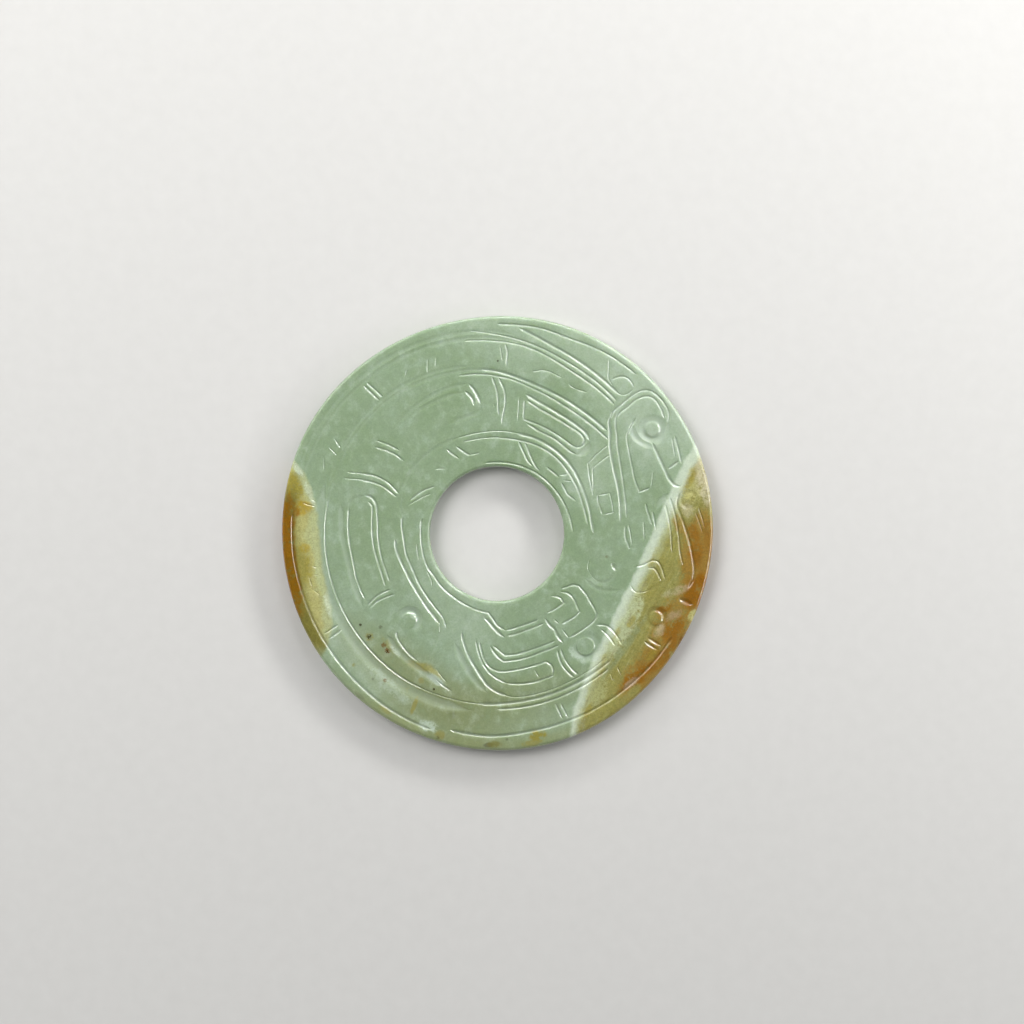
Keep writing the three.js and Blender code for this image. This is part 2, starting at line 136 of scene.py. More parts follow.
# Upper head, at right: crest round the eye, jaw, whisker and the neck bands that fall from it.
upperHeadLines = [
    ("deep", (6.0, 34.2), (14, 35.1), (21.6, 35.9), (30, 37.1), (37.8, 39.5), (42.6, 42.3),
     (45.0, 43.7), (46.2, 45.2)),
    ("line", (45.6, 44.6), (46.6, 46.6), (46.4, 49.4), (45.7, 54.2), (44.6, 56.8), (43.2, 58.0),
     (40.6, 58.7), (36.6, 58.5), (34.4, 57.6), (33.0, 56.2)),
    ("line", (7.2, 36.0), (12.7, 36.5), (18, 37.0), (24, 38.0), (30, 39.3), (36, 41.15),
     (39, 42.65), (43.2, 44.9), (44.7, 46.8), (44.5, 50.2), (44.1, 53.7), (43.0, 56.0),
     (41.3, 57.2), (38.2, 57.2), (34.9, 56.3)),
    ("channel", (33.6, 57.0), (32.2, 55.6), (31.0, 53.1), (31.5, 50.9), (33.6, 49.6)),
    ("channel", (39.5, 48.2), (36.4, 46.8), (33.1, 47.2), (30.6, 48.6), (28.4, 49.6)),
    ("line", (40.2, 50), (38.4, 46.6), (37.2, 45), (33, 43.3), (27, 41.8), (21, 40.9),
     (16.7, 41.05), (16.7, 41.05), (16.9, 44)),
    ("fine", (16.8, 44.4), (21.8, 46.4)),
    ("deep", (31.4, 49.9), (28, 49.6), (22, 49.6), (17.6, 50.0), (15.6, 50.9), (14.6, 52.4)),
    ("fine", (29, 55.2), (23.6, 53.6)),
    ("line", (29.1, 56.1), (21, 54.6)),
    ("line", (22.0, 54.0), (21.0, 50.6)),
    ("channel", (13.6, 48.9), (11.4, 46.2), (8, 44.0)),
    ("deep", (12.9, 51.8), (9.6, 50.5), (3, 51.8), (-4.3, 53.8), (-12, 55.6), (-16, 54.8)),
    ("line", (12, 48.8), (5, 49.6), (-5, 50.8), (-9.5, 52.0)),
    ("line", (9.9, 47.2), (1.8, 47.9), (-6, 48.6)),
    ("line", (11.7, 41.9), (8.5, 42.1), (3.4, 42.9)),
    ("line", (8.4, 43.4), (1.7, 43.9)),
    ("line", (3.8, 35.5), (-1.3, 35.5), (-6.0, 36.7), (-6.0, 36.7), (-5.4, 37.3)),
    ("fine", (4.1, 36.4), (-4.2, 37.3)),
    ("fine", (4.8, 40.6), (-2.4, 40.7)),
    ("fine", (39.1, 39.6), (38.9, 34.9), (38.1, 31.8), (38.1, 31.8), (33, 30.3), (26.4, 29.1),
     (22.2, 28.7)),
    ("fine", (35.4, 38.3), (35.1, 33.3), (34.4, 31.9), (34.4, 31.9), (30, 30.6), (23.4, 28.9)),
]

# Neck of the upper body: the long hairpin scroll and the radial lock beside it.
upperBodyLines = [
    ("deep", (78.6, 39.5), (72, 38.3), (66, 37.7), (60, 37.4), (52.8, 37.3), (48, 37.1),
     (45.6, 36.4)),
    ("line", (77.6, 37.9), (72, 36.8), (66, 36.2), (57, 35.95), (49.8, 36.1), (47.1, 35.35),
     (46.3, 34.1), (47.1, 32.9), (49.2, 32.2), (57, 32.1), (66, 32.3), (77.0, 32.6)),
    ("line", (75.3, 31.7), (72, 31.3), (67.8, 30.8), (60, 30.8), (54, 30.6), (48, 30.6),
     (45.4, 31.1)),
    ("channel", (45.4, 36.4), (43.8, 34.6), (43.8, 32.6), (45.2, 30.8)),
    ("line", (78.4, 37.8), (77.3, 32.6)),
    ("fine", (80.9, 38.2), (79.9, 31.9)),
    ("line", (92, 43.7), (90, 38.8), (89.5, 33)),
    ("line", (89.6, 43.4), (87.3, 40), (86.4, 36.6), (87, 33.9), (87.9, 30.6)),
    ("fine", (89.2, 52), (88.3, 48)),
    ("line", (87.7, 52.8), (86.8, 50.3), (87, 46.6)),
    ("fine", (78, 46), (74, 47.2), (68, 46.9)),
    ("fine", (64.7, 45.9), (62, 45.7), (58, 46.4)),
    ("fine", (91.4, 36.1), (91.4, 35.0)),
]

# Left body: scroll, locks and the tall hairpin.
leftBodyLines = [
    ("worn", (132, 41.3), (126, 41.8), (117, 42.4), (108, 42.7), (101.4, 42.5)),
    ("deep", (100.9, 42.4), (99.4, 40.8), (98.2, 38.8), (97.3, 36.4)),
    ("worn", (97.6, 36.6), (97.9, 34.6), (99.6, 33.95), (105, 33.6), (114, 33.3)),
    ("worn", (127.2, 40.6), (120, 40.7), (108, 40.6), (103, 40.4)),
    ("deep", (102.9, 40.6), (101.3, 39.3), (100.2, 37.6), (100.4, 36.2)),
    ("line", (144.6, 41.8), (142.8, 38.3), (141.9, 35.3), (142.1, 32.9)),
    ("line", (142.2, 42.2), (140.7, 39.3), (139.5, 35.8)),
    ("fine", (159.9, 45), (158.6, 42), (157.8, 40)),
    ("line", (158.3, 41), (157.2, 36.6), (157.5, 33.6), (159.6, 29.9)),
    ("fine", (157.5, 45), (156.4, 42.4), (155.7, 41)),
    ("line", (155.9, 41.4), (154.5, 37.6), (154.5, 34.3), (155.4, 32.3), (157.7, 29.5)),
    ("line", (206, 40.8), (198, 40.9), (192, 40.65), (186, 40.8), (180, 41.15), (174, 41.45),
     (169.8, 41.7)),
    ("worn", (171, 41.9), (167.1, 41.2), (165, 39.8), (163.7, 38.0)),
    ("deep", (163.8, 38.4), (163.4, 36.8), (164.7, 35.3), (167.1, 34.3), (171, 33.5)),
    ("line", (168, 34.1), (174, 33.3), (180, 33.05), (186, 32.85), (192, 32.7), (198, 32.5),
     (203.6, 32.6)),
    ("line", (165.9, 37.0), (167.1, 35.6), (171, 35.05), (180, 34.6), (186, 34.35), (192, 34.0),
     (198, 33.8), (204.8, 34.1)),
    ("channel", (169, 44.2), (174, 43.7), (180, 43.2), (190, 42.2), (208, 42.3)),
    ("line", (210, 41.1), (209.1, 38.3), (209.4, 35.3), (210.1, 33.1)),
    ("line", (208.8, 41), (207.3, 38.3), (206.9, 35.6), (207.3, 33.4)),
    ("line", (237.8, 41.5), (232.8, 41.1), (228, 40.3), (225.3, 39.6), (223.9, 38.8)),
    ("channel", (222, 41.4), (228, 42.3), (234, 42.9), (241, 43.4), (250, 44.8)),
    ("line", (246.4, 43.6), (249.4, 44.3), (253.4, 45.2)),
    ("fine", (245.7, 41.0), (248.4, 42.3), (251, 43.3)),
    ("fine", (240, 31.6), (237.6, 29.9)),
    ("line", (159.3, 26.1), (150.5, 24.1), (142.8, 21.9)),
    ("fine", (162, 25.9), (155, 23.6), (148.8, 21.7)),
    ("line", (115.2, 26.9), (112.8, 25.1), (110.1, 23.55), (108.2, 23.2)),
    ("fine", (109, 23.3), (106, 23.1), (102.6, 23.1)),
    ("line", (120.9, 27.4), (119, 25.3), (117, 23.55)),
    ("fine", (133.8, 25.1), (129, 23.4)),
    ("fine", (219, 23.2), (214.8, 22.3), (207, 21.9)),
    ("fine", (198, 22.9), (186.6, 22.4)),
    ("line", (77.7, 26.6), (72, 23.7), (67.2, 21.9), (62.7, 21.2)),
    ("line", (73.5, 26.6), (69.6, 24.6), (64.8, 22.7), (60, 21.5), (56.7, 21.1)),
    ("line", (54.3, 23.0), (43, 23.2)),
    ("line", (39, 22.7), (34.5, 22.5), (30, 22.3), (30, 22.3), (26.4, 22.9), (23.1, 23.6)),
    ("fine", (43.8, 23.7), (40.2, 25.7)),
    ("fine", (39.3, 23.5), (35.1, 25.4)),
]

# Lower head, at the bottom: brow, snout with its nostril, mane bands and the square spiral.
lowerHeadLines = [
    ("deep", (261, 23.5), (264, 24.2), (267, 25.6), (270, 27.0), (273.9, 28.6)),
    ("line", (275.4, 28.2), (279, 28.1), (288, 27.7), (297.5, 27.7)),
    ("line", (267.6, 30.9), (270, 31.8), (273.4, 33.5), (273.4, 33.5), (279, 33.6), (288, 33.3),
     (298.2, 33.5)),
    ("line", (266.3, 31.1), (270, 33.8), (272.8, 35.2), (272.8, 35.2), (282, 35.1),
     (291, 34.8), (299, 35.1)),
    ("line", (260.6, 30.3), (264, 34.8), (267, 37.0), (270.6, 37.9), (282, 37.75), (290.8, 37.7),
     (290.8, 37.7), (292.3, 39.0), (292.3, 40.9), (291.2, 42.0), (291.2, 42.0), (282, 42.1),
     (273.4, 41.3)),
    ("line", (258.6, 30.2), (261, 33.2), (264, 36.4), (267.6, 38.9), (270, 40), (273.4, 41.3)),
    ("deep", (249.9, 28.9), (253.4, 31.9), (256.8, 34.6), (262.2, 38.6), (266.4, 42.0),
     (270, 43.7), (273.4, 44.7)),
    ("channel", (248.6, 32.4), (252, 34.6), (256, 37.4), (261, 40.9), (266, 43.8)),
    ("fine", (285.3, 39), (286.2, 41.3)),
    ("deep", (299.4, 26.9), (300, 29.2), (300.9, 30.4), (300.6, 32.6), (301.2, 35.2)),
    ("fine", (303.6, 28.1), (304.5, 30.2)),
    ("fine", (304.2, 31.8), (304.6, 34.8)),
    ("line", (319.2, 23.1), (322.8, 24.1), (326.2, 25.1), (327.6, 26.7), (327.6, 26.7),
     (326.4, 28.9), (324, 31.9), (321.4, 35.3), (321.4, 35.3), (318.6, 35.8), (312, 35.4),
     (304.8, 34.8)),
    ("line", (317.6, 23.7), (320.1, 25.4), (320.1, 27.0), (318.6, 28.9), (316.6, 31.1),
     (316.6, 31.1), (313.8, 31.2), (305.7, 30.5)),
    ("line", (310.8, 22.7), (313.5, 23.7), (314.7, 24.9), (314.0, 26.3), (314.0, 26.3),
     (307.8, 26.1), (302.1, 25.7)),
    ("line", (297.3, 36.1), (296.3, 39.6), (296.7, 42), (298.2, 45)),
    ("line", (298.8, 36.3), (298.3, 39.3), (298.8, 42.3), (300, 45)),
    ("line", (317.4, 37), (320, 39.4), (319.8, 43), (318.4, 46)),
    ("line", (317.4, 38.8), (317.5, 41.6), (316.6, 44.9)),
]

# Lower right: the curl and the leaf beside the round boss, the lozenge and the lobe.
lowerRightLines = [
    ("line", (346.8, 39.4), (348.4, 41.5), (350.3, 43.4), (350.3, 45.0), (348.4, 46.4),
     (345, 48.0)),
    ("line", (347.2, 42.8), (347.8, 44.3), (344.2, 47.1)),
    ("fine", (339, 39.4), (337.4, 41.2), (338, 43), (341, 45.6)),
    ("worn", (338.6, 43.4), (341, 45.8), (344.6, 48.2)),
    ("fine", (335.4, 41.3), (335.8, 42.9)),
    ("gouge", (346.0, 32.5), (342.9, 34.5)),
    ("fine", (334.6, 31.0), (336, 28.6), (339.6, 26.7), (345, 26.4)),
    ("worn", (335.6, 37.3), (333, 34.6), (331.2, 31.4), (333, 27)),
    ("fine", (21.2, 30.0), (20.1, 33.1), (20.1, 33.1), (10.8, 32.6), (10.8, 32.6), (10.5, 29.7)),
    ("line", (10.4, 29.6), (17.4, 29.3), (21.4, 29.8)),
    ("fine", (57.4, 57.4), (55.9, 55.0), (54.4, 52.9), (51.8, 51.9)),
    ("line", (53.6, 53.2), (52.6, 54.8), (50.9, 56.1), (48.9, 56.2), (47.2, 55.6)),
]

# Short paired ticks across the outer band: angle, from radius, to radius, lean in degrees.
bandTicks = [
    ("line", 130.3, 55.6, 49.4, -0.9),
    ("line", 131.7, 55.3, 49.3, -0.6),
    ("fine", 119.5, 52.0, 50.8, 1.4),
    ("fine", 112.6, 52.2, 48.5, 1.9),
    ("fine", 109.8, 51.6, 49.3, 1.3),
    ("fine", 150.4, 52.4, 49.3, 1.7),
    ("fine", 153.3, 52.4, 49.3, 1.2),
    ("fine", 158.0, 52.5, 51.0, 4.0),
    ("fine", 171.2, 54.6, 49.8, 0.6),
    ("fine", 169.7, 52.4, 50.6, 0.6),
    ("fine", 190.2, 52.3, 50.0, 0.8),
    ("fine", 192.7, 52.0, 50.2, 0.6),
    ("fine", 194.4, 53.5, 53.3, 2.9),
    ("fine", 197.7, 53.3, 52.1, 1.9),
    ("line", 209.7, 55.5, 50.2, -0.4),
    ("line", 211.6, 55.0, 50.0, -0.4),
    ("line", 289.2, 49.8, 54.1, 0.5),
    ("line", 290.8, 50.1, 54.3, 0.6),
    ("deep", 325.6, 50.5, 54.8, 0.3),
    ("deep", 324.0, 50.3, 54.6, 0.3),
    ("fine", 308.6, 49.7, 51.8, -0.7),
    ("fine", 311.7, 49.4, 51.9, -0.9),
    ("gouge", 340.3, 53.3, 57.4, -0.4),
    ("fine", 4.6, 56.2, 57.4, -5.8),
    ("fine", 3.3, 55.2, 56.8, -5.7),
]

# Round bosses: where, radius of the dome, width of its flank and of the trench's outer wall, the
# trench's depth, and the angle towards which it dies out and by how much.
bosses = [
    {"at": (34.1, 51.8), "radius": 2.5, "flank": 1.0, "wall": 2.2, "depth": 0.5,
     "open": 100, "fade": 0.35},                                                # upper eye
    {"at": (308.1, 39.5), "radius": 2.8, "flank": 0.7, "wall": 2.4, "depth": 0.42,
     "open": 120, "fade": 0.75},                                                # lower eye
    {"at": (224.2, 34.1), "radius": 2.5, "flank": 1.0, "wall": 1.8, "depth": 0.58,
     "open": 228, "fade": 1.0},
    {"at": (341.2, 30.8), "radius": 3.5, "flank": 1.0, "wall": 1.4, "depth": 0.16,
     "open": 110, "fade": 0.6},
    {"at": (332.0, 49.6), "radius": 2.3, "flank": 0.9, "wall": 1.5, "depth": 0.46,
     "open": 215, "fade": 0.6},
    {"at": (10.2, 53.9), "radius": 2.1, "flank": 0.9, "wall": 1.1, "depth": 0.26,
     "open": 20, "fade": 0.6},
]
bossCutter = {
    "turns": 40,
    "steps": 9,
    "above": 0.8,           # how far it stands above the face
    "lift": 0.03,           # so it only cuts where the trench is deeper than that
}

# Chips out of the rim's upper edge: angle, size.
rimChips = [(171.6, 0.7), (186.9, 0.6), (193.2, 0.6), (197.2, 0.7), (198.8, 0.9), (337.5, 1.3),
            (331.5, 0.7), (327.6, 0.6), (336.2, 0.8), (203.4, 0.4)]
# How rough a chip is, and its stretch, reach beyond the rim and sink below the face.
chipShape = {"rough": 0.35, "roughScale": 1.3, "stretch": (0.8, 1.5, 0.7), "out": 0.25, "sink": 0.15}

# The plain face.
backRings = [("deep", 56.4), ("line", 21.2)]
backRingStep = 15
backHooks = {"count": 4, "radius": 45.0, "spread": 26.0, "curl": 3.4, "inset": 1.8}


def place(angle, radius):
    turn = math.radians(angle)
    return Vector((radius * math.cos(turn), radius * math.sin(turn)))


def outlineRadius(turn):
    return discShape["radius"] + sum(
        size * math.cos(waves * turn - math.radians(phase))
        for size, waves, phase in discShape["outlineWaves"])


def faceDip(x, y):
    # The face was ground by hand, so it dips a little here and there, never above true.
    broad, narrow = discShape["swellSizes"]
    wave = (noise.noise(Vector((x / broad, y / broad, 3.1)))
            + 0.5 * noise.noise(Vector((x / narrow, y / narrow, 8))))
    return -discShape["swell"] * min(1, max(0, 0.5 + 0.5 * wave))


def newObject(name, bm):
    mesh = bpy.data.meshes.new(name)
    bm.to_mesh(mesh)
    bm.free()
    piece = bpy.data.objects.new(name, mesh)
    bpy.context.scene.collection.objects.link(piece)
    return piece


def makeBlank():
    shape = discShape
    width = shape["radius"] - shape["holeRadius"]
    bm = bmesh.new()
    bmesh.ops.create_grid(bm, x_segments=1, y_segments=1, size=0.5)
    bmesh.ops.rotate(bm, verts=bm.verts, matrix=Matrix.Rotation(math.pi / 2, 3, "X"))
    bmesh.ops.scale(bm, verts=bm.verts, vec=(width, 1, shape["thickness"]))
    bmesh.ops.translate(bm, verts=bm.verts,
                        vec=(shape["holeRadius"] + width / 2, 0, shape["thickness"] / 2))
    bmesh.ops.bevel(bm, geom=bm.verts[:], offset=shape["edgeRound"],
                    segments=shape["edgeSegments"], profile=0.5, affect="VERTICES", material=-1)
    bmesh.ops.delete(bm, geom=bm.faces[:], context="FACES_ONLY")
    faces = [edge for edge in bm.edges if edge.calc_length() > width / 2]
    bmesh.ops.subdivide_edges(bm, edges=faces, cuts=shape["rings"])
    bmesh.ops.spin(bm, geom=bm.verts[:] + bm.edges[:], cent=(0, 0, 0), axis=(0, 0, 1),
                   angle=2 * math.pi, steps=shape["turns"], use_merge=True)
    bmesh.ops.recalc_face_normals(bm, faces=bm.faces)
    # From a true ring to the ground outline, with the hole a little off centre.
    holeShift = Vector(shape["holeCentre"])
    for vert in bm.verts:
        flat = vert.co.xy
        turn = math.atan2(flat.y, flat.x)
        out = (flat.length - shape["holeRadius"]) / width
        stretched = flat + flat.normalized() * out * (outlineRadius(turn) - shape["radius"])
        vert.co.xy = stretched + holeShift * (1 - out)
        if vert.co.z > shape["thickness"] / 2:
            vert.co.z += faceDip(*vert.co.xy)
    return newObject("blank", bm)


def smoothLine(guides):
    # Guides are joined on a flat chart, angle across and radius up, so one radius is a true arc.
    perDegree = math.radians(sum(radius for _, radius in guides) / len(guides))
    runs = [[]]
    for here, there in zip(guides, [*guides[1:], None]):
        runs[-1].append(Vector((here[0] * perDegree, here[1])))
        if here == there:
            runs.append([])
    line = []
    for run in runs:
        knots = [2 * run[0] - run[1], *run, 2 * run[-1] - run[-2]]
        for before, start, end, after in zip(knots, knots[1:], knots[2:], knots[3:]):
            a, b, c = (math.sqrt((q - p).length) for p, q in
                       ((before, start), (start, end), (end, after)))
            leave = ((start - before) / a - (end - before) / (a + b) + (end - start) / b) * b
            arrive = ((end - start) / b - (after - start) / (b + c) + (after - end) / c) * b
            steps = max(2, round((end - start).length / strokeShape["spacing"]))
            for i in range(steps):
                t = i / steps
                line.append(start * (2 * t ** 3 - 3 * t ** 2 + 1)
                            + leave * (t ** 3 - 2 * t ** 2 + t)
                            + end * (3 * t ** 2 - 2 * t ** 3) + arrive * (t ** 3 - t ** 2))
    line.append(runs[-1][-1])
    return [place(point.x / perDegree, point.y) for point in line]


def makeSection(cutName):
    shape = cutShapes[cutName]
    right = [(0.5 * shape["width"] * across, shape["depth"] * up) for across, up in cutSection]
    left = [(-across, up) for across, up in reversed(right[1:])]
    curve = bpy.data.curves.new(cutName + "Section", "CURVE")
    spline = curve.splines.new("POLY")
    spline.points.add(len(right + left) - 1)
    for point, (across, up) in zip(spline.points, right + left):
        point.co = (across, up, 0, 1)
    spline.use_cyclic_u = True
    return bpy.data.objects.new(cutName + "Section", curve)


def makeStroke(cutName, guides, section):
    # The cut narrows and rises out of the face towards both ends, as a wheel leaves it.
    shape = cutShapes[cutName]
    line = smoothLine(guides)
    run = [0.0]
    for here, there in zip(line, line[1:]):
        run.append(run[-1] + (there - here).length)
    rise = min(shape["rise"], strokeShape["longestRise"] * run[-1])
    wobbleSize = strokeShape["wobbleSize"]
    curve = bpy.data.curves.new("stroke", "CURVE")
    curve.dimensions = "3D"
    curve.twist_mode = "Z_UP"
    curve.bevel_mode = "OBJECT"
    curve.bevel_object = section
    curve.use_fill_caps = True
    spline = curve.splines.new("POLY")
    spline.points.add(len(line) - 1)
    for point, spot, along in zip(spline.points, line, run):
        ends = min(1, along / rise, (run[-1] - along) / rise)
        hand = 1 + shape["wobble"] * noise.noise(Vector((spot.x / wobbleSize, spot.y / wobbleSize, 5)))
        point.co = (*spot, discShape["thickness"] + faceDip(*spot), 1)
        point.radius = hand * max(strokeShape["narrowest"], math.sin(ends * math.pi / 2))
    stroke = bpy.data.objects.new("stroke", curve)
    bpy.context.scene.collection.objects.link(stroke)
    return stroke


def toCutter(stroke, depsgraph, flip):
    bm = bmesh.new()
    bm.from_mesh(stroke.evaluated_get(depsgraph).to_mesh())
    bmesh.ops.remove_doubles(bm, verts=bm.verts, dist=1e-4)
    if flip:
        bmesh.ops.scale(bm, verts=bm.verts, vec=(1, 1, -1))
        bmesh.ops.translate(bm, verts=bm.verts, vec=(0, 0, discShape["thickness"]))
    bmesh.ops.recalc_face_normals(bm, faces=bm.faces)
    return newObject("cutter", bm)


def makeBossCutter(boss):
    inner, outer = boss["radius"] - boss["flank"], boss["radius"] + boss["wall"]
    above, steps = bossCutter["above"], bossCutter["steps"]
    profile = [(0, above), (outer, above)]
    for start, width in ((outer, -boss["wall"]), (inner, boss["flank"])):
        slope = [(start + width * i / steps,
                  -0.5 * boss["depth"] * (1 - math.cos(math.pi * i / steps)))
                 for i in range(steps)]
        profile += slope if width < 0 else [(boss["radius"], -boss["depth"]), *reversed(slope)]
    profile.append((0, 0))
    bm = bmesh.new()
    verts = [bm.verts.new((across, 0, up)) for across, up in profile]
    for here, there in zip(verts, verts[1:]):
        bm.edges.new((here, there))
    bmesh.ops.spin(bm, geom=bm.verts[:] + bm.edges[:], cent=(0, 0, 0), axis=(0, 0, 1),
                   angle=2 * math.pi, steps=bossCutter["turns"], use_merge=True)
    bmesh.ops.remove_doubles(bm, verts=bm.verts, dist=1e-4)
    for vert in bm.verts:
        if vert.co.z < above / 2:
            away = math.atan2(vert.co.y, vert.co.x) - math.radians(boss["open"])
            shallower = 1 - boss["fade"] * (0.5 + 0.5 * math.cos(away))
            vert.co.z = bossCutter["lift"] + vert.co.z * shallower
    bmesh.ops.recalc_face_normals(bm, faces=bm.faces)
    spot = place(*boss["at"])
    bmesh.ops.translate(bm, verts=bm.verts,
                        vec=(*spot, discShape["thickness"] + faceDip(*spot)))
    return newObject("cutter", bm)


def makeChip(angle, size):
    turn = math.radians(angle)
    bm = bmesh.new()
    bmesh.ops.create_icosphere(bm, subdivisions=2, radius=size)
    for vert in bm.verts:
        lump = noise.noise(vert.co / size * chipShape["roughScale"] + Vector((angle, 0, 0)))
        vert.co *= 1 + chipShape["rough"] * lump
    bmesh.ops.scale(bm, verts=bm.verts, vec=chipShape["stretch"])
    bmesh.ops.rotate(bm, verts=bm.verts, matrix=Matrix.Rotation(turn, 3, "Z"))
    out = outlineRadius(turn) + chipShape["out"] * size
    bmesh.ops.translate(bm, verts=bm.verts,
                        vec=(*place(angle, out), discShape["thickness"] - chipShape["sink"]))
    return newObject("cutter", bm)


def hookGuides(middle, inset):
    # A shallow arc with both its ends curled in towards the hole.
    radius = backHooks["radius"] - inset
    curl = backHooks["curl"] - inset
    spread = backHooks["spread"] - inset
    curlTurn = math.degrees(curl / radius)
    near, far = ([(middle + side * (spread - 0.4 * curlTurn), radius - 2 * curl),
                  (middle + side * (spread + 0.7 * curlTurn), radius - curl),
                  (middle + side * spread, radius)] for side in (-1, 1))
    return [*near, (middle, radius + 0.8), *reversed(far)]


def makeDisc():
    blank = makeBlank()
    print("disc: blank spun")
    sections = {cutName: makeSection(cutName) for cutName in cutShapes}
    carved = (borderLines + middleLines + innerLines + upperHeadLines + upperBodyLines
              + leftBodyLines + lowerHeadLines + lowerRightLines)
    lines = [(cutName, guides, False) for cutName, *guides in carved]
    lines += [(cutName, [(angle - lean / 2, start), (angle + lean / 2, stop)], False)
              for cutName, angle, start, stop, lean in bandTicks]
    lines += [(cutName, [(angle, radius) for angle in range(0, 361, backRingStep)], True)
              for cutName, radius in backRings]
    for i in range(backHooks["count"]):
        hookAngle = 45 + 360 * i / backHooks["count"]
        lines += [("line", hookGuides(hookAngle, 0), True),
                  ("fine", hookGuides(hookAngle, backHooks["inset"]), True)]
    strokes = [makeStroke(cutName, guides, sections[cutName]) for cutName, guides, _ in lines]
    depsgraph = bpy.context.evaluated_depsgraph_get()
    cutters = [toCutter(stroke, depsgraph, flip)
               for stroke, (_, _, flip) in zip(strokes, lines)]
    cutters += [makeBossCutter(boss) for boss in bosses]
    cutters += [makeChip(angle, size) for angle, size in rimChips]
    print("disc:", len(cutters), "cutters made")

    cutting = bpy.data.collections.new("cutting")
    for cutter in cutters:
        cutting.objects.link(cutter)
    carving = blank.modifiers.new("carving", "BOOLEAN")
    carving.operation = "DIFFERENCE"
    carving.operand_type = "COLLECTION"
    carving.collection = cutting
    carving.solver = "MANIFOLD"
    depsgraph = bpy.context.evaluated_depsgraph_get()
    bm = bmesh.new()
    bm.from_mesh(blank.evaluated_get(depsgraph).to_mesh())
    for helper in [blank, *strokes, *cutters, *sections.values()]:
        bpy.data.objects.remove(helper)
    bpy.data.collections.remove(cutting)

    bmesh.ops.remove_doubles(bm, verts=bm.verts, dist=discShape["mergeGap"])
    bmesh.ops.dissolve_degenerate(bm, edges=bm.edges, dist=discShape["sliver"])
    # Centred as the solid is, then scaled to metres.
    middle = [0.5 * (min(vert.co[i] for vert in bm.verts) + max(vert.co[i] for vert in bm.verts))
              for i in (0, 1)]
    triangles = sum(len(face.verts) - 2 for face in bm.faces)
    bmesh.ops.translate(bm, verts=bm.verts, vec=(-middle[0], -middle[1], 0))
    bmesh.ops.scale(bm, verts=bm.verts, vec=(0.001, 0.001, 0.001))
    for face in bm.faces:
        face.smooth = True
    disc = newObject("carvedDisc", bm)
    disc.data.set_sharp_from_angle(angle=math.radians(discShape["sharpAngle"]))
    print("disc: carved,", triangles, "triangles")
    return disc


class Wire:
    # A shader socket. Sums of wires and numbers add the Math nodes that they need.
    def __init__(self, socket):
        self.socket = socket

    def make(self, kind, settings=None, values=None, output=0):
        tree = self.socket.id_data
        node = tree.nodes.new(kind)
        for name, value in (settings or {}).items():
            setattr(node, name, value)
        for name, value in (values or {}).items():
            if isinstance(value, Wire):
                tree.links.new(value.socket, node.inputs[name])
            else:
                node.inputs[name].default_value = value
        return Wire(node.outputs[output])

    def math(self, operation, *others):
        return self.make("ShaderNodeMath", {"operation": operation},
                         dict(enumerate((self, *others))))

    def __add__(self, other):
        return self.math("ADD", other)

    def __sub__(self, other):
        return self.math("SUBTRACT", other)

    def __mul__(self, other):
        return self.math("MULTIPLY", other)

    def __truediv__(self, other):
        return self.math("DIVIDE", other)

    def __rsub__(self, other):
        return self.make("ShaderNodeMath", {"operation": "SUBTRACT"}, {0: other, 1: self})

    def __rtruediv__(self, other):
        return self.make("ShaderNodeMath", {"operation": "DIVIDE"}, {0: other, 1: self})

    __radd__ = __add__
    __rmul__ = __mul__

    def between(self, low, high):
        # 0 up to low, 1 from high on, and smooth between.
        return self.make("ShaderNodeMapRange", {"interpolation_type": "SMOOTHSTEP"},
                         {"Value": self, "From Min": low, "From Max": high})

    def part(self, axis):
        return self.make("ShaderNodeSeparateXYZ", {}, {"Vector": self}, axis)

    def noise(self, size, detail=2.0, roughness=0.5, stretch=(1, 1, 1), output="Fac"):
        spread = self.make("ShaderNodeMapping", {},
                           {"Vector": self, "Scale": [part / size for part in stretch]})
        return self.make("ShaderNodeTexNoise", {},
                         {"Vector": spread, "Scale": 1.0, "Detail": detail,
                          "Roughness": roughness}, output)

    def spot(self, x, y, length, width, turn, soft):
        # 1 inside an oval of these half sizes, turned in degrees, and 0 outside it.
        if length == width:
            away = self.make("ShaderNodeVectorMath", {"operation": "DISTANCE"},
                             {0: self, 1: (x, y, 0)}, "Value") / length
        else:
            local = self.make("ShaderNodeMapping", {"vector_type": "TEXTURE"},
                              {"Vector": self, "Location": (x, y, 0),
                               "Rotation": (0, 0, math.radians(turn)),
                               "Scale": (length, width, 1000)})
            away = local.make("ShaderNodeVectorMath", {"operation": "LENGTH"}, {0: local}, "Value")
        return 1 - away.between(1 - soft, 1 + soft)

    def stirred(self, size, reach):
        # These coordinates pushed about by noise, so that edges read off them wander.
        push = self.noise(size, 4.0, 0.6, output="Color")
        push = push.make("ShaderNodeVectorMath", {"operation": "SUBTRACT"},
                         {0: push, 1: (0.5, 0.5, 0.5)})
        return push.make("ShaderNodeVectorMath", {"operation": "MULTIPLY_ADD"},
                         {0: push, 1: (reach, reach, 0), 2: self})


def paint(red, green, blue):
    # A colour from its 0 to 255 screen values.
    return (*(((v / 255 + 0.055) / 1.055) ** 2.4 if v > 10 else v / 255 / 12.92
              for v in (red, green, blue)), 1)


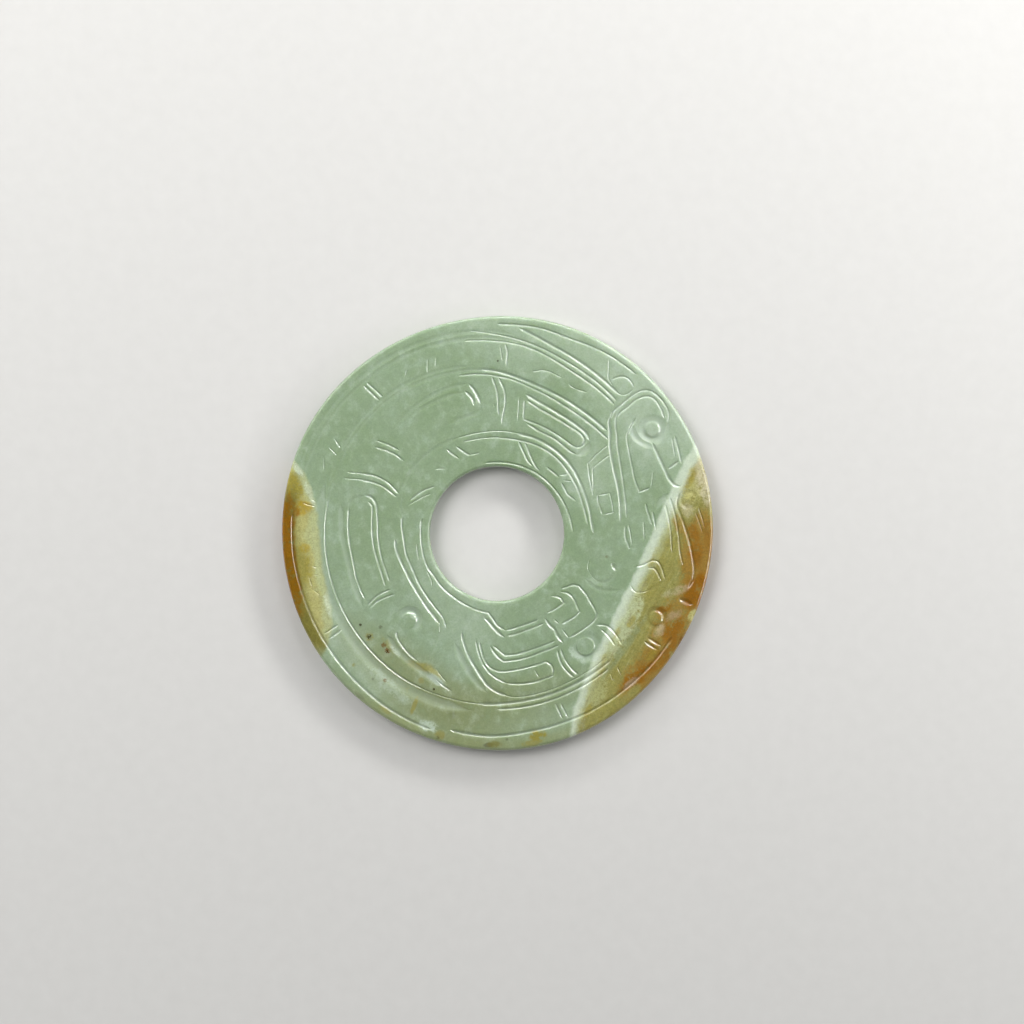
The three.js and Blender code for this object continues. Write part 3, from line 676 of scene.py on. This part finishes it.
jadeTones = {
    "celadon": (149, 168, 141),
    "leaf": (139, 159, 127),
    "grey": (171, 187, 165),
    # Also laid as painted highlights on lit slopes of the carving and as painted sheen in the cuts.
    "cloud": (190, 204, 187),
    "olive": (138, 147, 106),
    "milk": (202, 213, 194),
    "pale": (184, 194, 158),
    "cream": (178, 183, 136),
    "straw": (178, 175, 118),
    "khaki": (149, 146, 84),
    "moss": (124, 119, 56),
    "ochre": (150, 140, 56),
    "gold": (168, 144, 40),
    "russet": (150, 121, 54),
    "rust": (142, 97, 18),
    "umber": (112, 72, 14),
    "amber": (132, 94, 10),
    "frost": (192, 186, 160),
    "soot": (62, 56, 34),
}

# Clouds in the green stone, and one painted highlight: tone, x, y, half length, half width, turn
# in degrees, softness, strength.
cloudPatches = [
    ("grey", 44, 38, 26, 13, -48, 0.6, 0.7),
    ("grey", 10, 53, 20, 7, -10, 0.7, 0.5),
    ("leaf", -45, 30, 14, 8, 55, 0.8, 0.5),
    # Painted highlight: the lit outer wall of the scoop south-west of the upper eye.
    ("cloud", 38.6, 27.6, 3.6, 1.5, -60, 0.9, 0.6),
    ("grey", 42, 26, 6, 4, -50, 0.8, 0.7),
    ("grey", 25, 19, 6, 8, 15, 0.8, 0.75),
    ("grey", -12, -20, 18, 8, -45, 0.8, 0.3),
    ("grey", -37, -36, 16, 4, -46, 0.7, 0.8),
    ("grey", -9, -30, 4, 14, -22, 0.8, 0.3),
    ("grey", 10, -52, 10, 3, 8, 0.8, 0.4),
    ("leaf", 0, 22, 26, 9, 5, 0.7, 0.5),
    ("leaf", -31, 12, 14, 22, 0, 0.8, 0.35),
    ("leaf", 22, -10, 9, 16, 15, 0.8, 0.25),
    ("leaf", 5, -36, 22, 9, 12, 0.7, 0.2),
    ("olive", -22, -42, 22, 7, -38, 0.7, 0.8),
    ("olive", 5, -44, 26, 5, 8, 0.8, 0.5),
    ("olive", -8, -50, 24, 7, -4, 0.7, 0.6),
]
# Stains and scuffs in the lower left and at the bottom of the rim, with ragged edges, and some
# painted highlights on lit slopes of the carving.
greenStains = [
    ("khaki", -22.4, -36.3, 2.8, 1.0, -20, 0.9, 0.7),
    ("khaki", -19.2, -37.2, 2.0, 1.2, -30, 0.9, 0.7),
    ("khaki", -29.8, -31.0, 3.0, 0.9, -48, 0.9, 0.5),
    ("straw", -17.4, -38.4, 2.2, 0.8, -38, 0.8, 0.6),
    # Painted highlight on the lit side of the channel.
    ("cloud", -28.2, -32.4, 2.2, 0.7, -48, 0.9, 0.7),
    # Painted highlight on the lit side of the channel.
    ("cloud", -17.2, -40.2, 2.8, 1.0, -36, 0.9, 0.8),
    ("cloud", -30.5, -41.5, 8, 1.5, -42, 0.9, 0.4),
    # Painted highlight: the lit outer wall of the scoop south-west of the lower eye.
    ("cloud", 21.8, -33.4, 2.4, 1.1, -45, 0.9, 0.7),
    # Painted highlight on the lit crescent of the boss.
    ("cloud", -23.3, -22.4, 1.6, 0.9, -45, 0.9, 0.6),
    ("khaki", -23.0, -47.3, 2.6, 0.6, 68, 0.9, 0.9),
    ("khaki", -31.4, -48.5, 2.2, 0.7, -34, 0.9, 0.6),
    ("khaki", -24.8, -42.8, 0.7, 0.7, 0, 0.9, 0.6),
    ("khaki", -21.1, -40.5, 0.8, 0.8, 0, 0.9, 0.6),
    ("khaki", -39.8, -36.2, 0.5, 0.5, 0, 0.9, 0.7),
    ("soot", -38.2, -44.6, 1.6, 0.5, -42, 0.9, 0.25),
    ("cloud", -19.2, -53.2, 2.6, 1.4, -18, 0.9, 0.85),
    ("khaki", -16.0, -55.6, 1.3, 1.3, 0, 0.7, 0.8),
    ("soot", -16.5, -56.3, 0.5, 0.5, 0, 0.9, 0.7),
    ("soot", -2.6, -58.4, 1.3, 0.6, 0, 0.9, 0.5),
    ("moss", -0.8, -58.2, 1.8, 0.9, 0, 0.9, 0.7),
    ("ochre", 11.2, -55.9, 2.3, 1.7, 8, 0.6, 0.85),
    ("khaki", 9.0, -58.0, 2.6, 0.8, 8, 0.7, 0.8),
    ("soot", 2.6, -56.8, 0.4, 0.4, 0, 0.9, 0.4),
    ("soot", -12.7, -49.8, 1.2, 1.2, 0, 0.9, 0.15),
]
# Stronger stains in the left patch, and in the weathered stone at right, with a dark olive band
# beside the vein.
leftStains = [
    ("ochre", -56.2, 12.6, 2.1, 4.6, 12, 0.8, 0.85),
    ("gold", -54.0, 7.2, 2.6, 2.1, -4, 0.7, 0.75),
    ("rust", -55.6, 6.2, 0.9, 1.5, 0, 0.8, 0.7),
    ("cream", -51.4, -0.4, 2.6, 2.6, 0, 0.7, 0.8),
    ("ochre", -53.8, -8.4, 2.4, 5.2, 8, 0.8, 0.75),
    ("gold", -53.6, -3.8, 1.6, 1.2, 0, 0.8, 0.5),
    ("khaki", -54.6, -8.0, 1.4, 5.0, 8, 0.8, 0.5),
    ("milk", -51.2, 10.5, 1.1, 4.5, 28, 0.8, 0.5),
    ("milk", -55.3, 18.4, 1.0, 2.6, 32, 0.8, 0.75),
    ("milk", -46.6, -19.6, 1.2, 3.4, 12, 0.8, 0.55),
    ("khaki", -50.6, -24.0, 1.4, 3.0, 25, 0.9, 0.2),
]
rightStains = [
    ("straw", 54.5, 14, 6, 3.5, 75, 0.7, 0.9),
    ("frost", 57.2, 15.0, 7, 2.2, 104, 0.8, 0.7),
    ("pale", 34.8, -26.4, 10, 2.7, 62, 0.6, 0.75),
    ("cream", 27.6, -44.0, 6, 2.2, 66, 0.7, 0.5),
    ("ochre", 52.8, 15.4, 3.6, 1.5, 62, 0.9, 0.7),
    ("russet", 50.6, 2.4, 3.0, 1.6, -60, 0.8, 0.6),
    ("ochre", 42.2, -6.8, 3.0, 1.1, 66, 0.9, 0.6),
    # A dark olive band that runs beside the vein.
    ("olive", 35.0, -31.4, 10, 1.1, 54, 0.8, 0.8),
    ("ochre", 37.1, -24.1, 1.9, 0.9, 60, 0.7, 0.7),
    ("ochre", 33.0, -27.4, 1.7, 0.7, 60, 0.8, 0.5),
    ("ochre", 29.6, -34.2, 2.2, 0.7, 60, 0.8, 0.4),
    ("ochre", 25.0, -49.0, 2.4, 0.8, 60, 0.8, 0.6),
    ("russet", 55.5, -13.0, 11, 4.6, 78, 0.5, 0.9),
    ("russet", 57.6, -4, 10, 4.2, 94, 0.5, 0.9),
    ("russet", 53.2, -9, 9, 2.6, 96, 0.8, 0.8),
    ("russet", 48.0, -24.0, 9, 4.4, 62, 0.7, 0.8),
    ("russet", 44.0, -35.0, 13, 5.0, 47, 0.6, 0.9),
    ("rust", 58.4, -2.0, 5, 1.4, 94, 0.8, 0.35),
    ("rust", 54.6, -3.5, 5.5, 1.9, 98, 0.9, 0.7),
    ("rust", 55.5, -16.0, 5, 3.6, 70, 0.7, 0.95),
    ("rust", 46.0, -20.6, 2.2, 1.0, 20, 0.8, 0.8),
    ("rust", 48.8, -25.5, 4.2, 2.4, 60, 0.8, 0.8),
    ("umber", 51.8, -29.4, 3.4, 1.3, 60, 0.8, 0.7),
    ("rust", 46.2, -33.6, 5.0, 1.6, 50, 0.8, 0.7),
    ("ochre", 42.6, -33.4, 2.2, 1.0, 50, 0.9, 0.5),
    ("rust", 38.5, -39.6, 5.5, 1.9, 40, 0.8, 0.9),
    ("khaki", 37.8, -43.4, 2.2, 1.2, 45, 0.7, 0.9),
    ("frost", 53.0, 6.6, 1.8, 1.8, 0, 0.9, 0.45),
    ("frost", 49.6, -15.7, 3.6, 1.1, 20, 0.9, 0.4),
    ("frost", 44.8, -26.7, 2.0, 1.2, 60, 0.9, 0.4),
    ("frost", 48.9, -22.6, 2.4, 1.2, 30, 0.9, 0.35),
    ("frost", 37.0, -41.2, 2.4, 0.9, 40, 0.9, 0.4),
    ("straw", 53.9, -22.4, 1.8, 1.0, 60, 0.4, 0.95),
    ("khaki", 28, -50.5, 9, 2.2, 30, 0.8, 0.6),
]
# Dark specks: tone, x, y, size, strength.
darkSpecks = [
    ("soot", -37.95, -25.1, 0.38, 0.9),
    ("khaki", -35.5, -28.4, 1.1, 0.7),
    ("soot", -35.55, -28.4, 0.65, 0.9),
    ("soot", -32.4, -25.7, 0.5, 0.45),
    ("umber", -31.5, -30.7, 0.7, 0.7),
    ("umber", -30.5, -32.2, 0.75, 0.85),
    ("soot", -30.6, -32.5, 0.4, 0.7),
    ("soot", -17.66, -42.9, 0.36, 0.95),
    ("umber", -31.2, -40.5, 0.5, 0.6),
    ("soot", -34.5, -40.1, 0.36, 0.4),
    ("soot", 0.1, 48.0, 0.3, 0.7),
    ("umber", 30.25, -6.2, 0.35, 0.5),
]
# Where the vein's left side lies across the disc for a height up it: x = sum of term * y ** power.
veinSide = (42.34, 0.433, -0.00092, 0.000051, 0.00000135)
veinWidth = 3.1
# The same for the right side of the left patch.
patchSide = (-49.3, -0.09, 0.00147, -0.0004, -0.000015)
# Where the disc's middle lies among the places of the stains.
stainMiddle = (-0.009, 0.281)

jadeFinish = {
    "roughness": 0.21,
    "ior": 1.61,
    "scatter": 1.0,
    "scatterRadius": (1.0, 1.0, 0.75),
    "scatterScale": 0.0014,
    "coat": 0.7,
    "coatRoughness": 0.10,
    "bumpStrength": 0.10,
    "bumpDistance": 0.00006,
}


def makeJade():
    material = bpy.data.materials.new("celadonJade")
    material.use_nodes = True
    tree = material.node_tree
    shader = tree.nodes["Principled BSDF"]
    coordinates = Wire(tree.nodes.new("ShaderNodeTexCoord").outputs["Object"])
    # Millimetres, from the point that the carving's places are given from.
    at = coordinates.make("ShaderNodeMapping", {},
                          {"Vector": coordinates, "Scale": (1000, 1000, 1000),
                           "Location": (*stainMiddle, 0)})
    flat = at.make("ShaderNodeVectorMath", {"operation": "MULTIPLY"}, {0: at, 1: (1, 1, 0)})
    warped = at.stirred(5.0, 3.0)
    bent = at.stirred(4.0, 1.0)
    x, y, z = at.part("X"), at.part("Y"), at.part("Z")
    radius = (x * x + y * y).math("SQRT")
    cloud = at.noise(14.0, 3.0, 0.6)
    mist = at.noise(2.8, 5.0, 0.65, stretch=(1, 0.8, 1))
    fibre = at.noise(1.2, 4.0, 0.65)
    crumb = at.noise(1.3, 4.0, 0.7)
    grain = at.noise(0.4, 3.0, 0.7)
    ragged = (mist - 0.5) * 1.6 + (crumb - 0.5) * 1.8 + (grain - 0.5) * 0.8
    torn = ragged * 1.5 + 1.0
    gritty = (grain - 0.5) * 5.0 + 1.0

    def tone(name):
        return paint(*jadeTones[name])

    def lay(base, name, share):
        return base.make("ShaderNodeMix", {"data_type": "RGBA"},
                         {0: share, 6: base, 7: tone(name)}, 2)

    def layAll(base, patches, within, edge=None):
        # Tied to the base, so that a set is worked out after it: all at once is too much to hold.
        here = base.make("ShaderNodeVectorMath", {"operation": "MULTIPLY_ADD"},
                         {0: base, 1: (0, 0, 0), 2: flat if edge else warped})
        for name, px, py, length, width, turn, soft, strength in patches:
            spot = here.spot(px, py, length, width, turn, soft)
            if edge:
                spot = (spot * edge).between(0.15, 0.95)
            base = lay(base, name, spot * within * strength)
        return base

    def sideOf(terms, up):
        side = terms[0]
        power = up
        for term in terms[1:]:
            side = power * term + side
            power = power * up
        return side

    colour = at.make("ShaderNodeMix", {"data_type": "RGBA"},
                     {0: cloud.between(0.35, 0.7), 6: tone("celadon"), 7: tone("leaf")}, 2)
    colour = layAll(colour, cloudPatches, 1.0)
    colour = lay(colour, "cloud", mist.between(0.45, 0.85) * 0.5)
    colour = lay(colour, "leaf", (1 - mist.between(0.2, 0.5)) * 0.5)
    # The bottom of the rim is yellower.
    low = (0 - y).between(28, 50) * radius.between(55.5, 58.5)
    colour = lay(colour, "khaki", low * 0.3)
    colour = layAll(colour, greenStains, 1.0, torn)

    # The left patch, from its milky side out to the brown rim.
    px, py = bent.part("X"), bent.part("Y")
    patch = px - sideOf(patchSide, py) + (mist - 0.5) * 1.6
    inPatch = (1 - patch.between(-0.9, 0.6)) * py.between(-37, -29)
    colour = lay(colour, "cream", inPatch * 0.9)
    yellowing = ragged * 1.2 + patch
    colour = lay(colour, "straw", inPatch * (1 - yellowing.between(-3.8, -1.6)))
    colour = lay(colour, "khaki", inPatch * (1 - yellowing.between(-7.4, -4.2)) * 0.8)
    colour = layAll(colour, leftStains, inPatch, torn)
    brown = (radius + ragged * 0.8).between(55.4, 57.2) * inPatch
    colour = lay(colour, "moss", brown * 0.95 * (1 - py.between(8, 15)))
    colour = layAll(colour, [("amber", -58.5, -6.0, 17, 6, 94, 0.5, 1.0),
                             ("rust", -59.5, 0.0, 6, 1.6, 90, 0.9, 0.6)], brown, torn)

    # The milky vein and the weathered stone to the right of it.
    vein = (px - sideOf(veinSide, py)) * 0.915 + (mist - 0.5) * 1.2
    beyond = vein - py * 0.02 - veinWidth
    weathered = (beyond + ragged * 0.6).between(-1.8, 0.4)
    colour = lay(colour, "khaki", weathered)
    colour = lay(colour, "pale", weathered * (1 - (beyond + ragged * 1.2).between(-0.4, 2.8)) * 0.7)
    # Streaks in the weathered stone that run beside the vein.
    streak = flat.make("ShaderNodeMapping", {"vector_type": "TEXTURE"},
                       {"Vector": flat, "Rotation": (0, 0, math.radians(62)),
                        "Scale": (6, 1, 1)}).noise(1.3, 3.0, 0.6)
    colour = lay(colour, "cream", streak.between(0.5, 0.8) * weathered * 0.6)
    colour = layAll(colour, [("russet", 57.0, -10.0, 13, 4.2, 84, 0.7, 0.8)], weathered)
    colour = layAll(colour, rightStains, weathered, torn)
    colour = lay(colour, "umber", (1 - streak.between(0.25, 0.5)) * weathered * 0.25)
    milky = vein.between(-0.25, 0.95) * (1 - (beyond + ragged * 0.7).between(-1.2, 0.9))
    colour = lay(colour, "milk", milky * (mist * 0.6 + 0.55).math("MINIMUM", 1.0))

    # Fibres and grain in the stone, cuts painted paler, and dark specks.
    yellow = (inPatch + weathered).math("MINIMUM", 1.0)
    mottle = ((fibre - 0.5) * 0.14 + (grain - 0.5) * 0.45 + (cloud - 0.5) * 0.08
              + ((crumb - 0.5) * 0.5 + (grain - 0.5) * 0.6) * yellow)
    colour = colour.make("ShaderNodeHueSaturation", {},
                         {"Color": colour, "Value": mottle + 1.0})
    # Partly wear, partly painted sheen: the bottoms of the cuts are painted paler, lifting the shade
    # in them.
    cutSheenAndWear = ((discShape["thickness"] - z).between(0.09, 0.24) * radius.between(20.5, 21.2)
           * (1 - radius.between(57.9, 58.4)))
    colour = lay(colour, "cloud", cutSheenAndWear * 0.25 * (1 - yellow))
    specks = [(name, across, up, size, size, 0, 0.7, strength)
              for name, across, up, size, strength in darkSpecks]
    colour = layAll(colour, specks, 1.0, gritty)

    finish = jadeFinish
    roughness = (grain - 0.5) * 0.10 + (fibre - 0.5) * 0.10 + finish["roughness"]
    scratches = at.noise(0.35, 2.0, 0.5, stretch=(1, 0.06, 1))
    relief = grain * 0.5 + scratches * 0.5
    bump = relief.make("ShaderNodeBump", {},
                       {"Height": relief, "Strength": finish["bumpStrength"],
                        "Distance": finish["bumpDistance"]})
    tree.links.new(colour.socket, shader.inputs["Base Color"])
    tree.links.new(roughness.socket, shader.inputs["Roughness"])
    tree.links.new(bump.socket, shader.inputs["Normal"])
    shader.inputs["IOR"].default_value = finish["ior"]
    shader.inputs["Subsurface Weight"].default_value = finish["scatter"]
    shader.inputs["Subsurface Radius"].default_value = finish["scatterRadius"]
    shader.inputs["Subsurface Scale"].default_value = finish["scatterScale"]
    shader.inputs["Coat Weight"].default_value = finish["coat"]
    shader.inputs["Coat Roughness"].default_value = finish["coatRoughness"]
    print("jade: mixed")
    return material


studio = {
    "floorSize": 3.0,
    "floorTone": (200, 199, 196),
    "floorMottle": 3,
    "floorDrop": 0.00002,   # below the disc, so the two don't share a plane
    "floorRoughness": 0.8,
    "worldTone": (0.80, 0.82, 0.85),
    "worldStrength": 0.07,
}
# Soft panels: name, azimuth, elevation, distance, width, height, strength in watts, and whether
# they shine in the polished cuts.
lamps = [
    ("keyPanel", 150, 52, 0.9, 0.5, 0.5, 5.4, False),
    ("fillPanel", 225, 35, 0.9, 0.7, 0.3, 1.5, False),
    ("highPanel", 45, 52, 0.9, 0.5, 0.3, 1.2, True),
    ("leftStrip", 133, 22, 0.62, 0.40, 0.09, 0.8, True),
    ("northStrip", 88, 22, 0.62, 0.40, 0.09, 1.3, True),
    ("cornerStrip", 43, 22, 0.62, 0.40, 0.09, 2.2, True),
    ("rightStrip", -2, 22, 0.62, 0.40, 0.09, 1.4, True),
]
view = {
    "lens": 100.0,
    "sensor": 36.0,
    "clipStart": 0.01,
    "across": 0.2835,       # width of the view at the carved face
    "middle": (0.00401, 0.00587),
}


def makeFloor():
    bm = bmesh.new()
    bmesh.ops.create_grid(bm, x_segments=8, y_segments=8, size=studio["floorSize"] / 2)
    bmesh.ops.translate(bm, verts=bm.verts, vec=(0, 0, -studio["floorDrop"]))
    floor = newObject("floor", bm)
    material = bpy.data.materials.new("paleFloor")
    material.use_nodes = True
    tree = material.node_tree
    shader = tree.nodes["Principled BSDF"]
    coordinates = Wire(tree.nodes.new("ShaderNodeTexCoord").outputs["Object"])
    darker, lighter = ([v + side * studio["floorMottle"] for v in studio["floorTone"]]
                       for side in (-1, 1))
    mottle = coordinates.noise(0.004, 3.0)
    base = coordinates.make("ShaderNodeMix", {"data_type": "RGBA"},
                            {0: mottle, 6: paint(*darker), 7: paint(*lighter)}, 2)
    tree.links.new(base.socket, shader.inputs["Base Color"])
    shader.inputs["Roughness"].default_value = studio["floorRoughness"]
    floor.data.materials.append(material)
    print("floor: laid")


def makeLights():
    world = bpy.data.worlds.new("studio")
    world.use_nodes = True
    background = world.node_tree.nodes["Background"]
    background.inputs["Color"].default_value = (*studio["worldTone"], 1)
    background.inputs["Strength"].default_value = studio["worldStrength"]
    bpy.context.scene.world = world
    for name, azimuth, elevation, distance, width, height, watts, shines in lamps:
        light = bpy.data.lights.new(name, "AREA")
        light.shape = "RECTANGLE"
        light.size, light.size_y = width, height
        light.energy = watts
        lamp = bpy.data.objects.new(name, light)
        lamp.visible_glossy = shines
        turn, rise = math.radians(azimuth), math.radians(elevation)
        out = Vector((math.cos(turn) * math.cos(rise), math.sin(turn) * math.cos(rise),
                      math.sin(rise)))
        lamp.location = out * distance
        lamp.rotation_euler = out.to_track_quat("Z", "Y").to_euler()
        bpy.context.scene.collection.objects.link(lamp)
    print("lamps:", len(lamps), "placed")


def makeCamera():
    data = bpy.data.cameras.new("camera")
    data.lens, data.sensor_width = view["lens"], view["sensor"]
    data.clip_start = view["clipStart"]
    camera = bpy.data.objects.new("camera", data)
    height = view["across"] * view["lens"] / view["sensor"] + discShape["thickness"] / 1000
    camera.location = (*view["middle"], height)
    bpy.context.scene.collection.objects.link(camera)
    bpy.context.scene.camera = camera
    print("camera: set")


makeCamera()
makeLights()
makeFloor()
bpy.context.scene.view_settings.view_transform = "Standard"
disc = makeDisc()
disc.data.materials.append(makeJade())
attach(disc, "root")
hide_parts("jade_disc")
